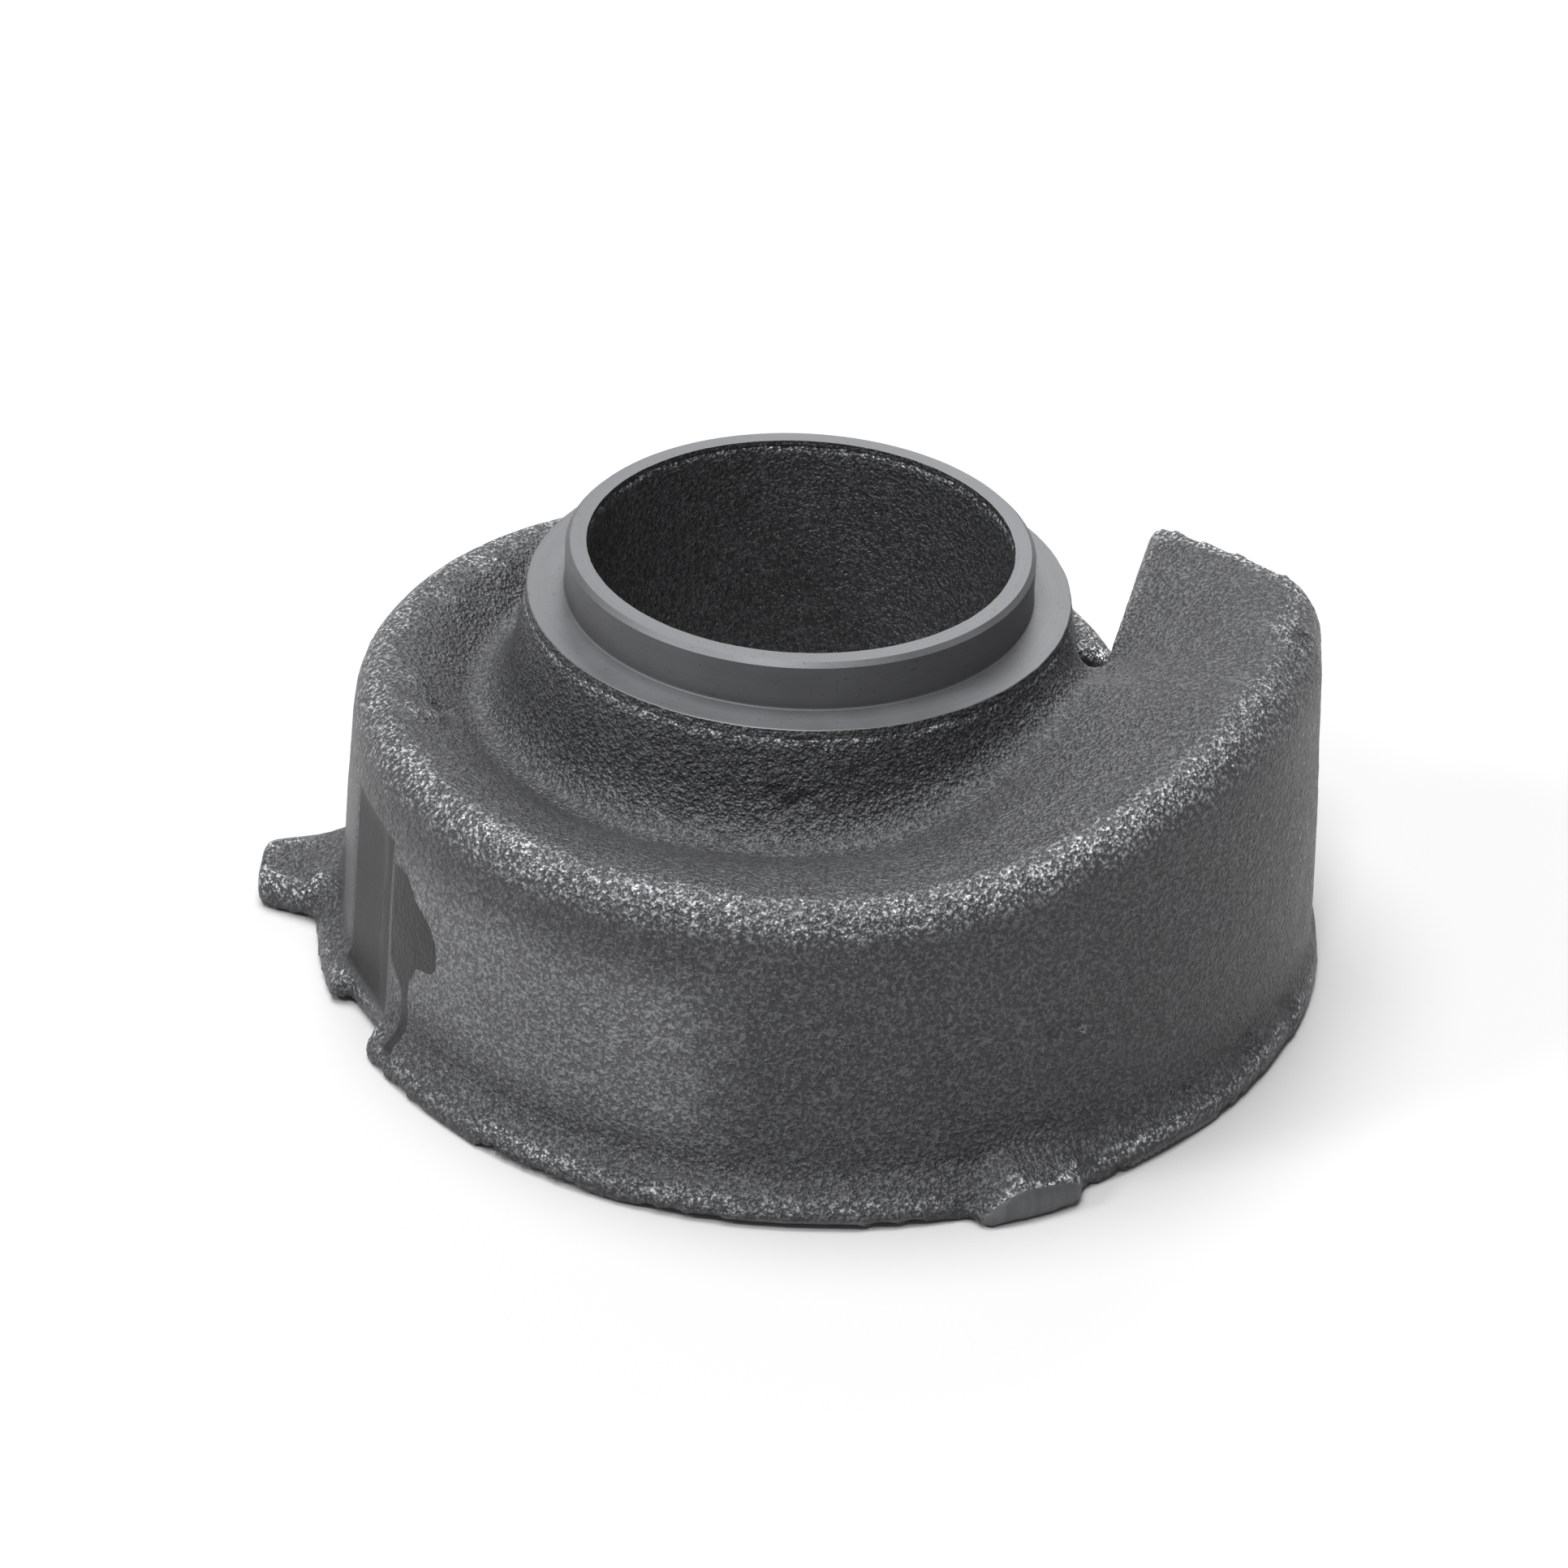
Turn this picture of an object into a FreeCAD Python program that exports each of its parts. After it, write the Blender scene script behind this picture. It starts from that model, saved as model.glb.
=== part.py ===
import FreeCAD, Part
import math
import os

os.makedirs("parts", exist_ok=True)

V = FreeCAD.Vector

# All sizes in millimetres and degrees. The suction axis is Z, the base face is at Z = 0.
# Azimuths run anticlockwise seen from above; the volute grows that way too.

# suction spigot and its machined shoulder
spigot_radius = 50.0
bore_radius = 45.5
total_height = 93.3
spigot_height = 10.8
rim_chamfer = 1.0
shoulder_height = total_height - spigot_height
facing_allowance = 1.5
facing_radius = 90.0

# trimming tools reach past the whole casting
tool_reach = 150.0

# cast neck below the shoulder
neck_top_radius = 58.1
neck_taper = math.radians(10.0)
neck_fillet_start = 4.0
neck_fillet_left = 8.0
neck_fillet_end = 6.5

# rim of the base plate at the end of the spiral, and how far it stands out from the spiral there
lip_radius = 118.6
lip_stand = 4.4

# spiral wall, radius taken at the gauge height
wall = 5.0
gauge_height = 55.0
spiral_start_radius = 75.5
spiral_growth = lip_radius - lip_stand - spiral_start_radius
spiral_start_angle = 15.0
bulge = 4.2
bulge_angle = 262.0
bulge_spread = 42.0
foot_draft = math.radians(2.0)
top_draft = math.radians(5.0)
mean_draft = math.radians(3.6)

# roof of the volute: height of its outer edge, and how far the crease at the neck lies below
nozzle_angle = -7.0
seam_angle = 92.0
roof_start = 54.0
roof_climb = 16.5
roof_ramp = 14.5
roof_ramp_from = 275.0
roof_ramp_span = 62.0
crease_drop_start = 2.5
crease_drop = 11.0
crease_dip = 4.0
crease_dip_span = 15.0
saddle_rise = 18.5
saddle_angle = 7.0
crest_share = 0.3
dip_share = 1.5
edge_start_radius = 4.0
edge_radius = 7.0
edge_end_radius = 10.0

# base plate
plate_radius = 102.5
flange_margin = 6.0
lip_height = 2.7
lip_round = 3.8
plate_thickness = 7.5
foot_fillet = 5.0
rim_grinding = 0.8
trim_from = -92.0
trim_to = -21.5

# discharge nozzle
nozzle_inner_start = 64.8
nozzle_inner_angle = 77.0
nozzle_outer_angle = 87.0
nozzle_roof = 83.6
nozzle_inner_roof = 81.2
nozzle_inner_edge = 6.0
nozzle_root_rise = 2.7
mouth_azimuth = 42.0
mouth_distance = 86.8

# chamber below the suction eye
chamber_radius = 71.0
eye_tube_wall = 6.5
eye_height = 33.0
register_radius = 78.0
register_depth = 3.0

# priming port through the roof at the start of the spiral
port_radius = 4.8
port_azimuth = 20.6
port_distance = 66.8

# lugs round the base plate: azimuth, reach beyond the plate's edge, tip height at its crest and at its side
lugs = [(295.6, 4.05, 6.9, 4.8), (57.0, 16.0, 7.5, 6.5), (178.5, 13.9, 7.5, 7.5)]
lug_width = 23.2
lug_side_slope = 8.0
lug_root_height = 15.0
lug_root_depth = 5.0
lug_spread = 0.45
lug_root_spread = 4.0

# ground-off gate on the wall
gate_azimuth = 205.6
gate_depth = 0.8
gate_height = 49.0
gate_width = 25.0
notch_azimuth = 210.7
notch_distance = 101.8
notch_width = 18.5


def smooth(x):
    x = max(0.0, min(1.0, x))
    return x * x * (3.0 - 2.0 * x)


def spiral_radius(angle):
    steady = spiral_start_radius + spiral_growth * (angle - spiral_start_angle) / 345.0
    return steady + bulge * math.exp(-((angle - bulge_angle) / bulge_spread) ** 2)


def wall_radius(angle, z):
    return spiral_radius(angle) + math.tan(mean_draft) * (gauge_height - z)


def roof_height(angle):
    climb = roof_climb * min(1.0, max(0.0, (angle - spiral_start_angle) / 255.0))
    ramp = roof_ramp * smooth((angle - roof_ramp_from) / roof_ramp_span)
    return roof_start + climb + ramp + saddle_rise * math.exp(-((angle - nozzle_angle) / saddle_angle) ** 2)


def crease_height(angle):
    drop = crease_drop_start + (crease_drop - crease_drop_start) * smooth((angle - 20.0) / 240.0)
    dip = crease_dip * smooth((angle - (nozzle_angle + 360.0 - crease_dip_span)) / crease_dip_span)
    return roof_height(angle) - drop - dip


def neck_radius(z):
    return neck_top_radius + math.tan(neck_taper) * (shoulder_height - z)


def plate_edge(angle):
    follow = max(plate_radius, wall_radius(angle, plate_thickness) + flange_margin)
    under_nozzle = plate_radius + (lip_radius - plate_radius) * (1.0 - smooth((angle - 20.0) / 30.0))
    return min(lip_radius, max(follow, under_nozzle))


def polar(r, angle, z):
    a = math.radians(angle)
    return V(r * math.cos(a), r * math.sin(a), z)


def bezier(points):
    curve = Part.BezierCurve()
    curve.setPoles(points)
    return curve.toShape()


def rounded(p0, d0, p1, d1, pull):
    span = p0.distanceToPoint(p1) * pull
    return bezier([p0, p0 + d0 * span, p1 - d1 * span, p1])


def roof_headings(high, low):
    # a crowned roof leaves its outer edge flatter, and reaches its inner edge steeper, than the chord
    level = V(low.x - high.x, low.y - high.y, 0.0)
    fall = math.atan2(high.z - low.z, level.Length)
    level.normalize()

    def tilt(angle):
        return level * math.cos(angle) - V(0.0, 0.0, math.sin(angle))

    return tilt(crest_share * fall), tilt(dip_share * fall)


def flats(p0, d0, p1, d1, pull, count):
    # a rounding drawn as a few flats, where a smooth one would only make the mesh heavy
    curve = rounded(p0, d0, p1, d1, pull).Curve
    points = [curve.value(i / count) for i in range(count + 1)]
    return [Part.makeLine(a, b) for a, b in zip(points, points[1:])]


def edge_round(angle):
    grown = edge_start_radius + (edge_radius - edge_start_radius) * smooth((angle - 15.0) / 90.0)
    return grown + (edge_end_radius - edge_radius) * smooth((angle - 300.0) / 60.0)


def neck_round(angle):
    grown = neck_fillet_start + (neck_fillet_left - neck_fillet_start) * smooth((angle - 20.0) / 120.0)
    return grown + (neck_fillet_end - neck_fillet_left) * smooth((angle - 280.0) / 60.0)


def outer_section(angle):
    def at(r, z):
        return polar(r, angle, z)

    def heading(dr, dz):
        return polar(dr, angle, dz).normalize()

    roof = roof_height(angle)
    edge = edge_round(angle)
    crease_z = crease_height(angle)
    neck_fillet = neck_round(angle)
    crease_r = neck_radius(crease_z) + neck_fillet
    rim = plate_edge(angle)
    foot = wall_radius(angle, plate_thickness)
    gap = rim - foot
    lip = min(lip_round, 0.4 * gap)
    fillet = min(foot_fillet, 0.45 * gap)
    core = bore_radius - 5.0
    roof_r = wall_radius(angle, roof) - edge
    p0 = at(core, -3.0)
    p1 = at(rim, -3.0)
    p2 = at(rim, lip_height)
    p3 = at(rim - lip, plate_thickness - 0.6)
    p4 = at(foot + fillet, plate_thickness)
    p5 = at(wall_radius(angle, plate_thickness + fillet), plate_thickness + fillet)
    p6 = at(wall_radius(angle, roof - edge), roof - edge)
    p7 = at(roof_r, roof)
    p8 = at(crease_r, crease_z)
    p9 = at(neck_radius(crease_z + neck_fillet), crease_z + neck_fillet)
    p10 = at(neck_radius(shoulder_height + facing_allowance), shoulder_height + facing_allowance)
    p11 = at(core, shoulder_height + facing_allowance)
    up_foot = heading(-math.tan(foot_draft), 1.0)
    up_top = heading(-math.tan(top_draft), 1.0)
    inward = heading(-1.0, 0.0)
    crest, dip = roof_headings(p7, p8)
    neck_up = heading(-math.sin(neck_taper), math.cos(neck_taper))
    edges = [Part.makeLine(p0, p1), Part.makeLine(p1, p2), Part.makeLine(p2, p3), Part.makeLine(p3, p4)]
    edges += flats(p4, inward, p5, up_foot, 0.38, 2)
    edges += flats(p5, up_foot, p6, up_top, 0.33, 2)
    edges += flats(p6, up_top, p7, crest, 0.38, 5)
    edges += flats(p7, crest, p8, dip, 0.33, 4)
    edges += flats(p8, dip, p9, neck_up, 0.4, 4)
    edges.append(Part.makeLine(p9, p10))
    edges.append(Part.makeLine(p10, p11))
    edges.append(Part.makeLine(p11, p0))
    return Part.Wire(edges)


def passage_section(angle):
    def at(r, z):
        return polar(r, angle, z)

    def heading(dr, dz):
        return polar(dr, angle, dz).normalize()

    roof = roof_height(angle) - wall
    ceiling = crease_height(angle) - wall
    corner = max(2.5, edge_round(angle) - 2.0)
    crease_r = neck_radius(crease_height(angle)) + neck_round(angle)
    tube = bore_radius + eye_tube_wall
    root_fillet = 4.0
    floor = plate_thickness + 0.5
    p0 = at(tube, floor)
    p1 = at(wall_radius(angle, floor) - wall, floor)
    p2 = at(wall_radius(angle, roof - corner) - wall, roof - corner)
    p3 = at(wall_radius(angle, roof) - wall - corner, roof)
    p4 = at(crease_r, ceiling)
    p5 = at(tube + root_fillet, ceiling)
    p6 = at(tube, ceiling - root_fillet)
    up = heading(-math.tan(mean_draft), 1.0)
    crest, dip = roof_headings(p3, p4)
    edges = [Part.makeLine(p0, p1), Part.makeLine(p1, p2)]
    edges += flats(p2, up, p3, crest, 0.38, 2)
    edges += flats(p3, crest, p4, dip, 0.33, 2)
    edges += [Part.makeLine(p4, p5), Part.makeLine(p5, p6), Part.makeLine(p6, p0)]
    return Part.Wire(edges)


def steps(start, end, count):
    return [start + (end - start) * i / count for i in range(count + 1)]


def swept(section):
    # the start of the spiral carries the saddle, so it takes closer sections than the rest
    start = steps(nozzle_angle, 20.0, 8) + steps(32.0, seam_angle, 5)
    first = Part.makeLoft([section(a) for a in start], True, False)
    rest = Part.makeLoft([section(a) for a in steps(seam_angle, nozzle_angle + 360.0, 20)], True, False)
    return first.fuse(rest)


def plan_at(origin, azimuth, distance):
    a = math.radians(azimuth)
    return V(origin.x + distance * math.cos(a), origin.y + distance * math.sin(a), 0.0)


def mouth_plan(start, azimuth, beyond):
    # where a plan line from start crosses the mouth plane moved outwards by beyond
    m = math.radians(mouth_azimuth)
    reach = mouth_distance + beyond - (start.x * math.cos(m) + start.y * math.sin(m))
    return plan_at(start, azimuth, reach / math.cos(math.radians(azimuth - mouth_azimuth)))


def nozzle_section(inner, outer, bottom, inner_top, outer_top, inner_edge, outer_edge):
    across = outer - inner
    across.normalize()
    up = V(0.0, 0.0, 1.0)
    lean = math.tan(mean_draft)

    def inner_at(z):
        return inner - across * (lean * (gauge_height - z)) + up * z

    def outer_at(z):
        return outer + across * (lean * (gauge_height - z)) + up * z

    wall_in = (across * lean + up).normalize()
    wall_out = (up - across * lean).normalize()
    q0 = inner_at(bottom)
    q1 = outer_at(bottom)
    q2 = outer_at(outer_top - outer_edge)
    q3 = outer_at(outer_top) - across * outer_edge
    q4 = inner_at(inner_top) + across * inner_edge
    q5 = inner_at(inner_top - inner_edge)
    crest, dip = roof_headings(q3, q4)
    edges = [Part.makeLine(q0, q1), Part.makeLine(q1, q2)]
    edges.append(rounded(q2, wall_out, q3, crest, 0.38))
    edges.append(rounded(q3, crest, q4, dip, 0.33))
    edges.append(rounded(q4, dip, q5, wall_in * -1.0, 0.38))
    edges.append(Part.makeLine(q5, q0))
    return Part.Wire(edges)


def nozzle(inset, bottom, beyond):
    # one duct from the end of the spiral to past the mouth; inset 0 gives the outside
    join = nozzle_angle + 360.0
    inner = polar(nozzle_inner_start + inset, join, 0.0)
    outer = polar(spiral_radius(join) - inset, join, 0.0)
    shrink = 0.4 * inset
    root_in = crease_height(join) + nozzle_root_rise - inset
    root_out = roof_height(join) - inset
    inner_edge = nozzle_inner_edge - shrink
    outer_edge = edge_end_radius - shrink
    root = nozzle_section(inner, outer, bottom, root_in, root_out, inner_edge, outer_edge)
    far_in = mouth_plan(inner, nozzle_inner_angle, beyond)
    far_out = mouth_plan(outer, nozzle_outer_angle, beyond)
    top_in = nozzle_inner_roof - inset
    top_out = nozzle_roof - inset
    far = nozzle_section(far_in, far_out, bottom, top_in, top_out, inner_edge, outer_edge)
    return Part.makeLoft([root, far], True, True)


def mouth_trim():
    box = Part.makeBox(tool_reach, 2 * tool_reach, tool_reach, V(mouth_distance, -tool_reach, plate_thickness))
    box.rotate(V(0, 0, 0), V(0, 0, 1), mouth_azimuth)
    return box


def spigot():
    body = Part.makeCylinder(spigot_radius, spigot_height + 8.0, V(0, 0, shoulder_height - 8.0))
    rim = [e for e in body.Edges if abs(e.BoundBox.ZMin - total_height) < 1e-6 and e.Length > 10.0]
    return body.makeChamfer(rim_chamfer, rim)


def shoulder_facing():
    return Part.makeCylinder(facing_radius, tool_reach, V(0, 0, shoulder_height))


def lug(azimuth, reach, crest, side):
    half = lug_width / 2
    edge = plate_edge(azimuth)
    root = wall_radius(azimuth, plate_thickness) - lug_root_depth

    def profile(r, rise, grow):
        left = -half - 0.3 * grow
        right = half + grow
        p = [V(r, left, -3.0), V(r, right, -3.0), V(r, right, 0.75 * (side + rise)), V(r, right - 1.5, side + rise)]
        p.append(V(r, left + 1.3 * lug_side_slope, crest + rise))
        p.append(V(r, left + 0.45 * lug_side_slope, 0.6 * (crest + rise)))
        p.append(V(r, left, 0.1 * crest))
        return Part.makePolygon(p + [p[0]])

    foot_spread = lug_spread * 0.8 * reach
    root_rise = lug_root_height - crest
    sections = [profile(root, root_rise, foot_spread + lug_root_spread)]
    sections.append(profile(edge + 0.2 * reach, 0.3 * root_rise, foot_spread))
    sections.append(profile(edge + reach + 1.0, 0.0, 0.0))
    body = Part.makeLoft(sections, True, True)
    body = body.common(Part.makeCylinder(edge + reach, 60.0, V(0, 0, -5.0)))
    body.rotate(V(0, 0, 0), V(0, 0, 1), azimuth)
    return body


def rim_trim():
    # band taken off the rim of the plate between two azimuths, clear of the lug
    ring = Part.makeCylinder(lip_radius + 10.0, 40.0, V(0, 0, -5.0))
    ring = ring.cut(Part.makeCylinder(lip_radius - rim_grinding, 40.0, V(0, 0, -5.0)))
    sector = Part.makeCylinder(lip_radius + 20.0, 40.0, V(0, 0, -5.0), V(0, 0, 1), trim_to - trim_from)
    sector.rotate(V(0, 0, 0), V(0, 0, 1), trim_from)
    return ring.common(sector)


def gate_grinding():
    a = math.radians(gate_azimuth)
    low = wall_radius(gate_azimuth, 0.0) - gate_depth
    box = Part.makeBox(30.0, 60.0, gate_height + 5.0, V(low, -30.0, -3.0))
    lean = math.degrees(mean_draft)
    box.rotate(V(low, 0, 0), V(0, 1, 0), -lean)
    box.rotate(V(0, 0, 0), V(0, 0, 1), gate_azimuth)
    keep = Part.makeBox(200.0, gate_width, 200.0, V(50.0, -gate_width / 2, plate_thickness))
    keep.rotate(V(0, 0, 0), V(0, 0, 1), gate_azimuth)
    notch = Part.makeBox(40.0, notch_width, 40.0, V(notch_distance, -notch_width / 2, -5.0))
    notch.rotate(V(0, 0, 0), V(0, 0, 1), notch_azimuth)
    return box.common(keep).fuse(notch)


def base_facing():
    return Part.makeBox(2 * tool_reach, 2 * tool_reach, tool_reach, V(-tool_reach, -tool_reach, -tool_reach))


def hollow():
    space = swept(passage_section)
    space = space.fuse(nozzle(wall, plate_thickness + 0.5, 12.0))
    space = space.fuse(Part.makeCylinder(chamber_radius, eye_height + 2.0, V(0, 0, -2.0)))
    space = space.fuse(Part.makeCylinder(register_radius, register_depth + 2.0, V(0, 0, -2.0)))
    return space.fuse(Part.makeCylinder(bore_radius, total_height + 10.0, V(0, 0, -5.0)))


def casting():
    body = swept(outer_section).fuse(nozzle(0.0, -3.0, 8.0).cut(mouth_trim()))
    body = body.cut(rim_trim())
    for azimuth, reach, crest, side in lugs:
        body = body.fuse(lug(azimuth, reach, crest, side))
    body = body.cut(gate_grinding())
    body = body.cut(base_facing())
    body = body.cut(shoulder_facing())
    body = body.fuse(spigot())
    body = body.cut(hollow())
    body = body.cut(Part.makeCylinder(port_radius, total_height, polar(port_distance, port_azimuth, eye_height)))
    return body


casting().exportStep("parts/volute_casing.step")
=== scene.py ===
import math

import bmesh
import bpy
from mathutils import Matrix, Vector, noise
from mathutils.bvhtree import BVHTree


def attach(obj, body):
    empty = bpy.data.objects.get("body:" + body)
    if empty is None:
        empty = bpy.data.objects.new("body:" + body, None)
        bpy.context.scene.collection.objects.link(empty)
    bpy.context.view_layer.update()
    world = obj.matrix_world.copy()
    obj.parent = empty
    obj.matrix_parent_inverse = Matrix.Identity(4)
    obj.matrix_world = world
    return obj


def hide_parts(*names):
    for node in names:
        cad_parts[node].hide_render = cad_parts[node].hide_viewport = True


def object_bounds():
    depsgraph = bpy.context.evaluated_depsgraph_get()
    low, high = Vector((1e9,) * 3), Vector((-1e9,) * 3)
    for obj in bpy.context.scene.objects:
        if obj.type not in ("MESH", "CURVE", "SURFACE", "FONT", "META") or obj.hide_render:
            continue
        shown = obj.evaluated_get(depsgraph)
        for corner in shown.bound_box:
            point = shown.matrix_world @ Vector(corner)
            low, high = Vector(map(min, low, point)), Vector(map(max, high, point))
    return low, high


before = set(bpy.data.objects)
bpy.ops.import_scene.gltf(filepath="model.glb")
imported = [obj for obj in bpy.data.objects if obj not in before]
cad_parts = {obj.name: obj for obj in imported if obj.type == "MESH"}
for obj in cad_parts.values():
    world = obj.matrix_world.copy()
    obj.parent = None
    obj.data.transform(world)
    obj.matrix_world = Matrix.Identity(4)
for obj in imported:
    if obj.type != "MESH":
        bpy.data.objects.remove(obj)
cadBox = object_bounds()
mm = 0.001


def addNode(tree, kind, **settings):
    node = tree.nodes.new(kind)
    for key, value in settings.items():
        setattr(node, key, value)
    return node


def feed(tree, socket, value):
    # a socket is linked, anything else is set on the socket itself
    if isinstance(value, bpy.types.NodeSocket):
        tree.links.new(value, socket)
    else:
        socket.default_value = value


def socketOf(sockets, name, kind):
    # a node that handles several types has a socket of the same name for each
    return next(socket for socket in sockets if socket.name == name and socket.type == kind)


def calc(tree, operation, *values):
    node = addNode(tree, "ShaderNodeMath", operation=operation)
    for socket, value in zip(node.inputs, values):
        feed(tree, socket, value)
    return node.outputs[0]


def largest(tree, *values):
    result = values[0]
    for value in values[1:]:
        result = calc(tree, "MAXIMUM", result, value)
    return result


def product(tree, *values):
    result = values[0]
    for value in values[1:]:
        result = calc(tree, "MULTIPLY", result, value)
    return result


def vectorCalc(tree, operation, *values):
    node = addNode(tree, "ShaderNodeVectorMath", operation=operation)
    for socket, value in zip(node.inputs, values):
        feed(tree, socket, value)
    return node.outputs["Value" if operation in ("DISTANCE", "DOT_PRODUCT") else "Vector"]


def scaled(tree, vector, factor):
    node = addNode(tree, "ShaderNodeVectorMath", operation="SCALE")
    feed(tree, node.inputs[0], vector)
    feed(tree, node.inputs["Scale"], factor)
    return node.outputs[0]


def ramp(tree, value, start, end, low=0.0, high=1.0):
    node = addNode(tree, "ShaderNodeMapRange", interpolation_type="SMOOTHSTEP")
    for socket, number in zip(node.inputs, (value, start, end, low, high)):
        feed(tree, socket, number)
    return node.outputs[0]


def fall(tree, value, start, end):
    return ramp(tree, value, start, end, 1.0, 0.0)


def between(tree, value, low, high, soft):
    rising = ramp(tree, value, low - soft, low + soft)
    return product(tree, rising, fall(tree, value, high - soft, high + soft))


def noiseOf(tree, vector, scale, detail=2.0, roughness=0.5):
    node = addNode(tree, "ShaderNodeTexNoise")
    feed(tree, node.inputs["Vector"], vector)
    feed(tree, node.inputs["Scale"], scale)
    node.inputs["Detail"].default_value = detail
    node.inputs["Roughness"].default_value = roughness
    return node.outputs[0]


def mixOf(tree, factor, first, second):
    node = addNode(tree, "ShaderNodeMix", data_type="FLOAT")
    for name, value in (("Factor", factor), ("A", first), ("B", second)):
        feed(tree, socketOf(node.inputs, name, "VALUE"), value)
    return socketOf(node.outputs, "Result", "VALUE")


def roundPlace(tree, vector):
    # azimuth in degrees, radius and height in millimetres, all about the suction axis
    split = addNode(tree, "ShaderNodeSeparateXYZ")
    feed(tree, split.inputs[0], vector)
    x, y, z = split.outputs
    azimuth = calc(tree, "DEGREES", calc(tree, "ARCTAN2", y, x))
    radius = calc(tree, "SQRT", calc(tree, "ADD", calc(tree, "MULTIPLY", x, x), calc(tree, "MULTIPLY", y, y)))
    return azimuth, calc(tree, "DIVIDE", radius, mm), calc(tree, "DIVIDE", z, mm)


# where the casting was ground or machined, used by the relief and by the finish
# azimuths are low, high and softness in degrees; pairs are the start and end of a fade in millimetres
ground = {
    "rimBands": [(-100.0, -75.0, 0.8), (-51.0, -38.0, 0.8)],
    "rimHeight": (2.15, 2.65),
    "rimOutside": (116.0, 116.5),
    "lugAzimuth": (-70.0, -58.2, 0.15),
    "lugOutside": (120.7, 121.1),
    "gateAzimuth": (-158.0, -144.3, 0.35),
    "gateFoot": (6.0, 9.0),
    "gateTop": 51.0,
    "gateTopSoft": 0.5,
    "gateOutside": (90.0, 91.0),
    "registerRadius": 78.6,
    "registerHeight": 3.4,
    "registerFade": (0.2, 0.3),
    "baseHeight": (0.125, 0.25),
    "mouthAzimuth": 42.0,
    "mouthDistance": 86.7,
    "mouthFade": 0.4,
    "mouthFoot": (8.5, 9.5),
    "mouthSpan": (-2.0, 34.0, 0.5),
}


def gateMask(tree, azimuth, radius, height, wander):
    top = calc(tree, "ADD", wander, ground["gateTop"])
    soft = ground["gateTopSoft"]
    return product(tree, between(tree, azimuth, *ground["gateAzimuth"]),
                   fall(tree, calc(tree, "SUBTRACT", height, top), -soft, soft),
                   ramp(tree, height, *ground["gateFoot"]), ramp(tree, radius, *ground["gateOutside"]))


def groundMask(tree, vector, wander, fade):
    # fade widens the hidden borders: 1 is crisp for the finish, more is soft for the relief
    azimuth, radius, height = roundPlace(tree, vector)
    bands = largest(tree, *[between(tree, azimuth, *band) for band in ground["rimBands"]])
    rim = product(tree, bands, fall(tree, calc(tree, "ADD", height, wander), *ground["rimHeight"]),
                  ramp(tree, radius, *ground["rimOutside"]))
    lug = product(tree, between(tree, azimuth, *ground["lugAzimuth"]),
                  ramp(tree, radius, *ground["lugOutside"]))
    side, depth = ground["registerRadius"], ground["registerHeight"]
    sideFade, depthFade = ground["registerFade"]
    register = product(tree, fall(tree, radius, side, side + sideFade * fade),
                       fall(tree, height, depth, depth + depthFade * fade))
    bottom, skinTop = ground["baseHeight"]
    base = fall(tree, height, bottom, skinTop * fade)
    turn = math.radians(ground["mouthAzimuth"])
    outward = (math.cos(turn), math.sin(turn), 0.0)
    along = calc(tree, "DIVIDE", vectorCalc(tree, "DOT_PRODUCT", vector, outward), mm)
    edge = ground["mouthDistance"]
    mouth = product(tree, ramp(tree, along, edge - ground["mouthFade"] * fade, edge),
                    ramp(tree, height, *ground["mouthFoot"]), between(tree, azimuth, *ground["mouthSpan"]))
    return largest(tree, rim, lug, register, base, mouth, gateMask(tree, azimuth, radius, height, wander))


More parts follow.
